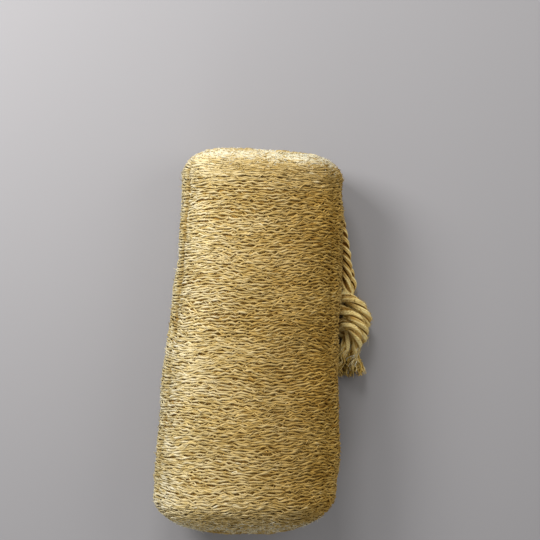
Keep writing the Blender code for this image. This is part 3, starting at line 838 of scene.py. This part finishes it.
def face_net(
    name, finish, end, spacing, step, depth, thickness, seed, limit, bleach=0.0, headings=(0.25, 1.35, 2.4)
):
    """The spongy cut face of an end, out to a share of the section: families of wavy fibres that cross it at
    several headings and leave the seed channels open, paler towards its rim by the bleach."""
    chance = np.random.default_rng(seed)
    _, wide, _, high = (float(v) for v in section(np.array(end * LENGTH / 2)))
    reach = math.hypot(wide, high)
    offset = np.arange(-reach, reach, spacing)[:, None]
    run = np.arange(-reach, reach, step)[None, :]

    def drift(wide, tall):
        """A new drift of this face, of a size in millimetres across and along its fibres."""
        return waves(offset / GIRTH, run, (wide * MM, tall * MM), int(chance.integers(1000)))

    centres, radii, tones = [], [], []
    for heading in headings:
        own = chance.uniform(-1, 1, offset.shape)
        shape, other = drift(7, 7), drift(5, 8)
        sideways = offset + 0.4 * spacing * own + 1.1 * spacing * shape
        x = (run * math.cos(heading) - sideways * math.sin(heading)) / wide
        z = (run * math.sin(heading) + sideways * math.cos(heading)) / high
        point, share = face_point(x, z, end, depth)
        point[..., 1] += 0.6 * MM * other
        radius = thickness * (1 + 0.4 * other) * np.clip((limit - share) / 0.05, 0, 1)
        centres.append(point)
        radii.append(radius * channel_room(point, 0.1 * MM))
        tones.append(0.55 + 0.4 * drift(3, 16) + bleach * np.clip((share - 0.45) / 0.25, 0, 1))
    centre, radius, tone = (np.concatenate(grids) for grids in (centres, radii, tones))
    facing = np.zeros_like(centre)
    facing[..., 1] = end
    return fibres(name, centre, facing, radius, finish, np.clip(tone, 0, 1.6))


def core(name, finish, rings=210, sides=170):
    """The dark pulp that shows between the fibres: the skin drawn in and rough, closed at its poles, with
    the seed channels cut through it."""
    along = np.linspace(2 * MM, ALONG[-1] - 2 * MM, rings)[:, None]
    around = np.linspace(0, 1, sides, endpoint=False)[None, :]
    point, facing = skin(around, along, (1.6 + 1.4 * np.interp(along, ALONG, FACING_Y) ** 2) * MM)
    rough = 0.35 * MM * waves(around, along, (6 * MM, 3 * MM), 71, 20)
    made = closed_tube(name, point + facing * rough[..., None], finish, 0.5)
    cutters = [channel_cutter(place) for place in CHANNELS]
    for cutter in cutters:
        modifier = made.modifiers.new("hollow", "BOOLEAN")
        modifier.operation, modifier.solver, modifier.object = "DIFFERENCE", "EXACT", cutter
    hollow = bpy.data.meshes.new_from_object(made.evaluated_get(bpy.context.evaluated_depsgraph_get()))
    made.modifiers.clear()
    made.data = hollow
    hollow.name = name
    for cutter in cutters:
        bpy.data.objects.remove(cutter)
    return made


def channel_wall(place, y, turn, inset=0.0):
    """Points on a seed channel's wall, or a little inside it: an oval whose size wavers by sines along it
    and round it."""
    across, up, half_width, half_height = place
    middle, wide, height, high = section(y)
    swell = 1 + CHANNEL_WAVER * np.sin(3 * turn + 90 * y + 9 * across)
    swell = swell * (1 + CHANNEL_WAVER * np.sin(55 * y + 7 * across))
    x = middle + across * wide + (swell * half_width - inset) * np.cos(turn)
    z = height + up * high + (swell * half_height - inset) * np.sin(turn)
    return np.stack(np.broadcast_arrays(x, y, z), axis=-1)


def channel_fibres(name, finish, pitch=1.5 * MM, reach=34 * MM, steps=44):
    """Fibres round the inside of each seed channel near both ends: wavering rings, darker the further in as
    painted shade, that thin out where they come near an end's face."""
    centres, facings, radii, tones = [], [], [], []
    turn = np.linspace(0, 2 * math.pi, steps, endpoint=False)[None, :]
    round_it = turn / (2 * math.pi)
    level = np.arange(0, reach, pitch)[:, None]
    for number, place in enumerate(CHANNELS):
        for end in (-1, 1):
            own_seed = 10 * number + end
            sway = waves(round_it, level, (40 * MM, 7 * MM), 500 + own_seed)
            y = end * (LENGTH / 2 - level - 1.8 * MM * sway)
            inset = (0.5 + 0.5 * waves(round_it, level, (30 * MM, 3 * MM), 540 + own_seed)) * MM
            point = channel_wall(place, y, turn, inset)
            middle, wide, height, high = section(y)
            share = oval_share((point[..., 0] - middle) / wide, (point[..., 2] - height) / high)
            under = end * (slanted_face_y(share, end, point) - y)
            centres.append(point)
            radii.append(0.36 * MM * (1 + 0.3 * sway) * np.clip((under - 0.5 * MM) / (0.5 * MM), 0, 1))
            # Painted shade: darker the further into the channel.
            tones.append(0.75 - 0.75 * level / reach + 0.25 * sway)
            facings.append(np.stack(np.broadcast_arrays(-np.cos(turn), 0 * y, -np.sin(turn)), axis=-1))
    centre, facing, radius, tone = (np.concatenate(grids) for grids in (centres, facings, radii, tones))
    return fibres(name, centre, facing, radius, finish, np.clip(tone, 0, 1), closed=True, side_of_skin=0.0)


def slanted_face_y(share, end, point):
    """How far along an end's face lies at a share of the section, with the cord end's slant taken off."""
    at = point.copy()
    at[..., 1] = face_y(share, end)
    return slanted(at)[..., 1]


def channel_cutter(place, rings=60, sides=28, reach=LENGTH / 2 + 6 * MM):
    """A seed channel as a solid that runs out past both ends."""
    y = np.linspace(-reach, reach, rings)[:, None]
    turn = np.linspace(0, 2 * math.pi, sides, endpoint=False)[None, :]
    return closed_tube("channel_cutter", channel_wall(place, y, turn), CORE_FINISH, 0.3)


def hairs(
    name, finish, around, along, length, thickness, seed, lean=0.8, depth=0.3 * MM, tone=(0.5, 1.0),
    crossing=0.0, steps=4,
):
    """Loose fibre ends: each rises from the skin, leans over along it and curls, and thins to its tip.

    Crossing fibres lie on the net instead, and turn off its run by about that many radians.
    """
    chance = np.random.default_rng(seed)
    count = len(around)
    root, facing = skin(around, along, depth)
    heading = chance.uniform(0, 2 * math.pi, count)
    if crossing:
        run, hand = chance.choice((0, math.pi), count), chance.choice((-1, 1), count)
        heading = run + crossing * hand * chance.uniform(0.4, 1.4, count)
    upright = 0.2 if crossing else 1.0
    ahead = unit(np.cross(facing, (0.0, 1.0, 0.02)))
    beside = np.cross(facing, ahead)
    flat = np.cos(heading)[:, None] * ahead + np.sin(heading)[:, None] * beside
    rise = facing * upright * chance.uniform(0.15, 1.0, (count, 1)) + flat * lean
    curl = np.cross(facing, flat) * chance.normal(0, 0.5 * upright, (count, 1))
    curl = curl - facing * upright * chance.uniform(0.0, 0.8, (count, 1))
    reach = length * chance.uniform(0.35, 1.0, (count, 1))
    t = np.linspace(0, 1, steps)
    path = unit(rise)[:, None] * t[None, :, None] + curl[:, None] * (t**2)[None, :, None]
    point = root[:, None] + reach[:, :, None] * path
    radius = thickness * (1 - 0.85 * t)[None, :] * chance.uniform(0.6, 1.3, (count, 1))
    radius = radius * cord_room(point).min(axis=1, keepdims=True)
    clear = channel_space(point).min(axis=1, keepdims=True) + 0.9 * MM
    radius = radius * np.clip(clear / (0.5 * MM), 0, 1)
    shade = np.repeat(chance.uniform(*tone, (count, 1)), steps, axis=1)
    return fibres(name, point, np.repeat(facing[:, None], steps, axis=1), radius, finish, shade)


def build_sponge():
    """All pieces of the sponge, from its pulp out to its loose hairs."""
    low, high = BLUNT_RIM - 6 * MM, CORD_RIM + 5 * MM
    middle = (low + high) / 2
    made = [core("deep_pulp", CORE_FINISH)]
    for half, reach in (("blunt", (low, middle)), ("cord", (middle, high))):
        made.append(ring_net(
            f"outer_net_{half}_half", NET_FINISH, pitch=1.2 * MM, eye=6.6 * MM, step=1.05 * MM,
            depth=0.35 * MM, thickness=0.44 * MM, slant=1.5 * MM, reach=reach, seed=100,
            tone_range=(0.28, 0.93), closeness=0.29, sides=4,
        ))
    made.append(ring_net(
        "second_net", INNER_FINISH, pitch=1.4 * MM, eye=7.5 * MM, step=1.3 * MM, depth=0.70 * MM,
        thickness=0.48 * MM, slant=4.0 * MM, reach=(low, high), seed=200, tone_range=(0.3, 1.0),
    ))
    made.append(lengthwise_net("lengthwise_fibres", INNER_FINISH, 84, 1.4 * MM, 1.8 * MM, 0.42 * MM, 300))
    for end, word, limit, bleach in ((-1, "blunt", 0.62, 0.0), (1, "cord", 0.74, 0.9)):
        made.append(face_net(
            f"{word}_face_net", NET_FINISH, end, spacing=1.7 * MM, step=1.1 * MM, depth=0.4 * MM,
            thickness=0.30 * MM, seed=400 + end, limit=limit, bleach=bleach,
        ))
        made.append(face_net(
            f"{word}_face_under", INNER_FINISH, end, spacing=2.6 * MM, step=1.3 * MM, depth=1.6 * MM,
            thickness=0.38 * MM, seed=410 + end, limit=limit, bleach=bleach, headings=(0.9, 2.0, 2.9),
        ))
    made.append(channel_fibres("channel_fibres", INNER_FINISH))
    chance = np.random.default_rng(5)
    around, along = chance.uniform(0, 1, 1500), chance.uniform(low, high, 1500)
    made.append(hairs("loose_fibres", NET_FINISH, around, along, 3.2 * MM, 0.16 * MM, 6))
    all_over, by_rim = chance.uniform(low, high, 2600), CORD_RIM - chance.uniform(2 * MM, 20 * MM, 900)
    along = np.concatenate([all_over, by_rim])
    around = chance.uniform(0, 1, len(along))
    made.append(hairs(
        "crossing_fibres", NET_FINISH, around, along, 4.0 * MM, 0.30 * MM, 9,
        lean=1.0, depth=0.15 * MM, tone=(0.3, 1.05), crossing=0.6,
    ))
    past_rim = np.concatenate([chance.normal(-3.5 * MM, 4 * MM, 4200), chance.uniform(0, 14 * MM, 1600)])
    around = chance.uniform(0, 1, len(past_rim))
    made.append(hairs(
        "cord_rim_tips", TIP_FINISH, around, CORD_RIM + past_rim, 2.0 * MM, 0.19 * MM, 7,
        lean=0.9, tone=(0.8, 1.6),
    ))
    past_rim = chance.normal(8 * MM, 4 * MM, 1700)
    around = chance.uniform(0, 1, len(past_rim))
    made.append(hairs(
        "blunt_rim_tips", TIP_FINISH, around, BLUNT_RIM + past_rim, 2.4 * MM, 0.17 * MM, 8,
        lean=0.6, tone=(0.2, 0.9),
    ))
    return made


def area_light(name, place, target, size, power, colour):
    """A square light at a place, turned to a target."""
    lamp = bpy.data.lights.new(name, "AREA")
    lamp.size, lamp.energy, lamp.color = size, power, colour
    made = bpy.data.objects.new(name, lamp)
    made.location = place
    direction = np.array(target) - np.array(place)
    made.rotation_euler = Vector(direction).to_track_quat("-Z", "Y").to_euler()
    bpy.context.scene.collection.objects.link(made)


def build_stage():
    """The pale table, a soft light from the upper left, another past the cord end, weak ones from the cord's
    side and from past the blunt end, and the camera straight above."""
    bpy.context.scene.view_settings.view_transform = "Standard"
    finish, _, shader = nodes_of("table_top")
    shader.inputs["Base Color"].default_value = (0.285, 0.285, 0.305, 1)
    shader.inputs["Roughness"].default_value = 0.85
    mesh = bpy.data.meshes.new("table")
    signs = ((-1, -1), (1, -1), (1, 1), (-1, 1))
    mesh.from_pydata([(x * TABLE_HALF, y * TABLE_HALF, -TABLE_DROP) for x, y in signs], [], [(0, 1, 2, 3)])
    mesh.materials.append(finish)
    table = bpy.data.objects.new("table", mesh)
    bpy.context.scene.collection.objects.link(table)
    for light in LIGHTS:
        area_light(*light)
    world = bpy.data.worlds.new("studio")
    world.use_nodes = True
    background = world.node_tree.nodes["Background"].inputs
    background["Color"].default_value, background["Strength"].default_value = (1.0, 0.97, 0.92, 1), 0.30
    bpy.context.scene.world = world
    lens = bpy.data.cameras.new("camera")
    lens.sensor_fit, lens.sensor_width = "HORIZONTAL", SENSOR_WIDTH
    lens.lens = SENSOR_WIDTH * VIEW_DISTANCE / VIEW_WIDTH
    lens.clip_start = 0.01
    camera = bpy.data.objects.new("camera", lens)
    camera.location = (*VIEW_MIDDLE, OUTLINE_HEIGHT + VIEW_DISTANCE)
    bpy.context.scene.collection.objects.link(camera)
    bpy.context.scene.camera = camera


def main():
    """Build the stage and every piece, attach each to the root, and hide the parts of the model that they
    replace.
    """
    build_stage()
    legs, knot = build_cord()
    for piece in build_sponge():
        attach(piece, "root")
        if piece.name == "deep_pulp":
            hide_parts("loofah_body")
    for name, (piece, _) in legs.items():
        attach(piece, "root")
        if name == "cord_inside":
            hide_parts("cord_loop")
    for piece in knot:
        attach(piece, "root")
        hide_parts("cord_knot")
    for name, order in (("cord_upper_leg", -1), ("cord_lower_leg", 1)):
        piece, route = legs[name]


main()
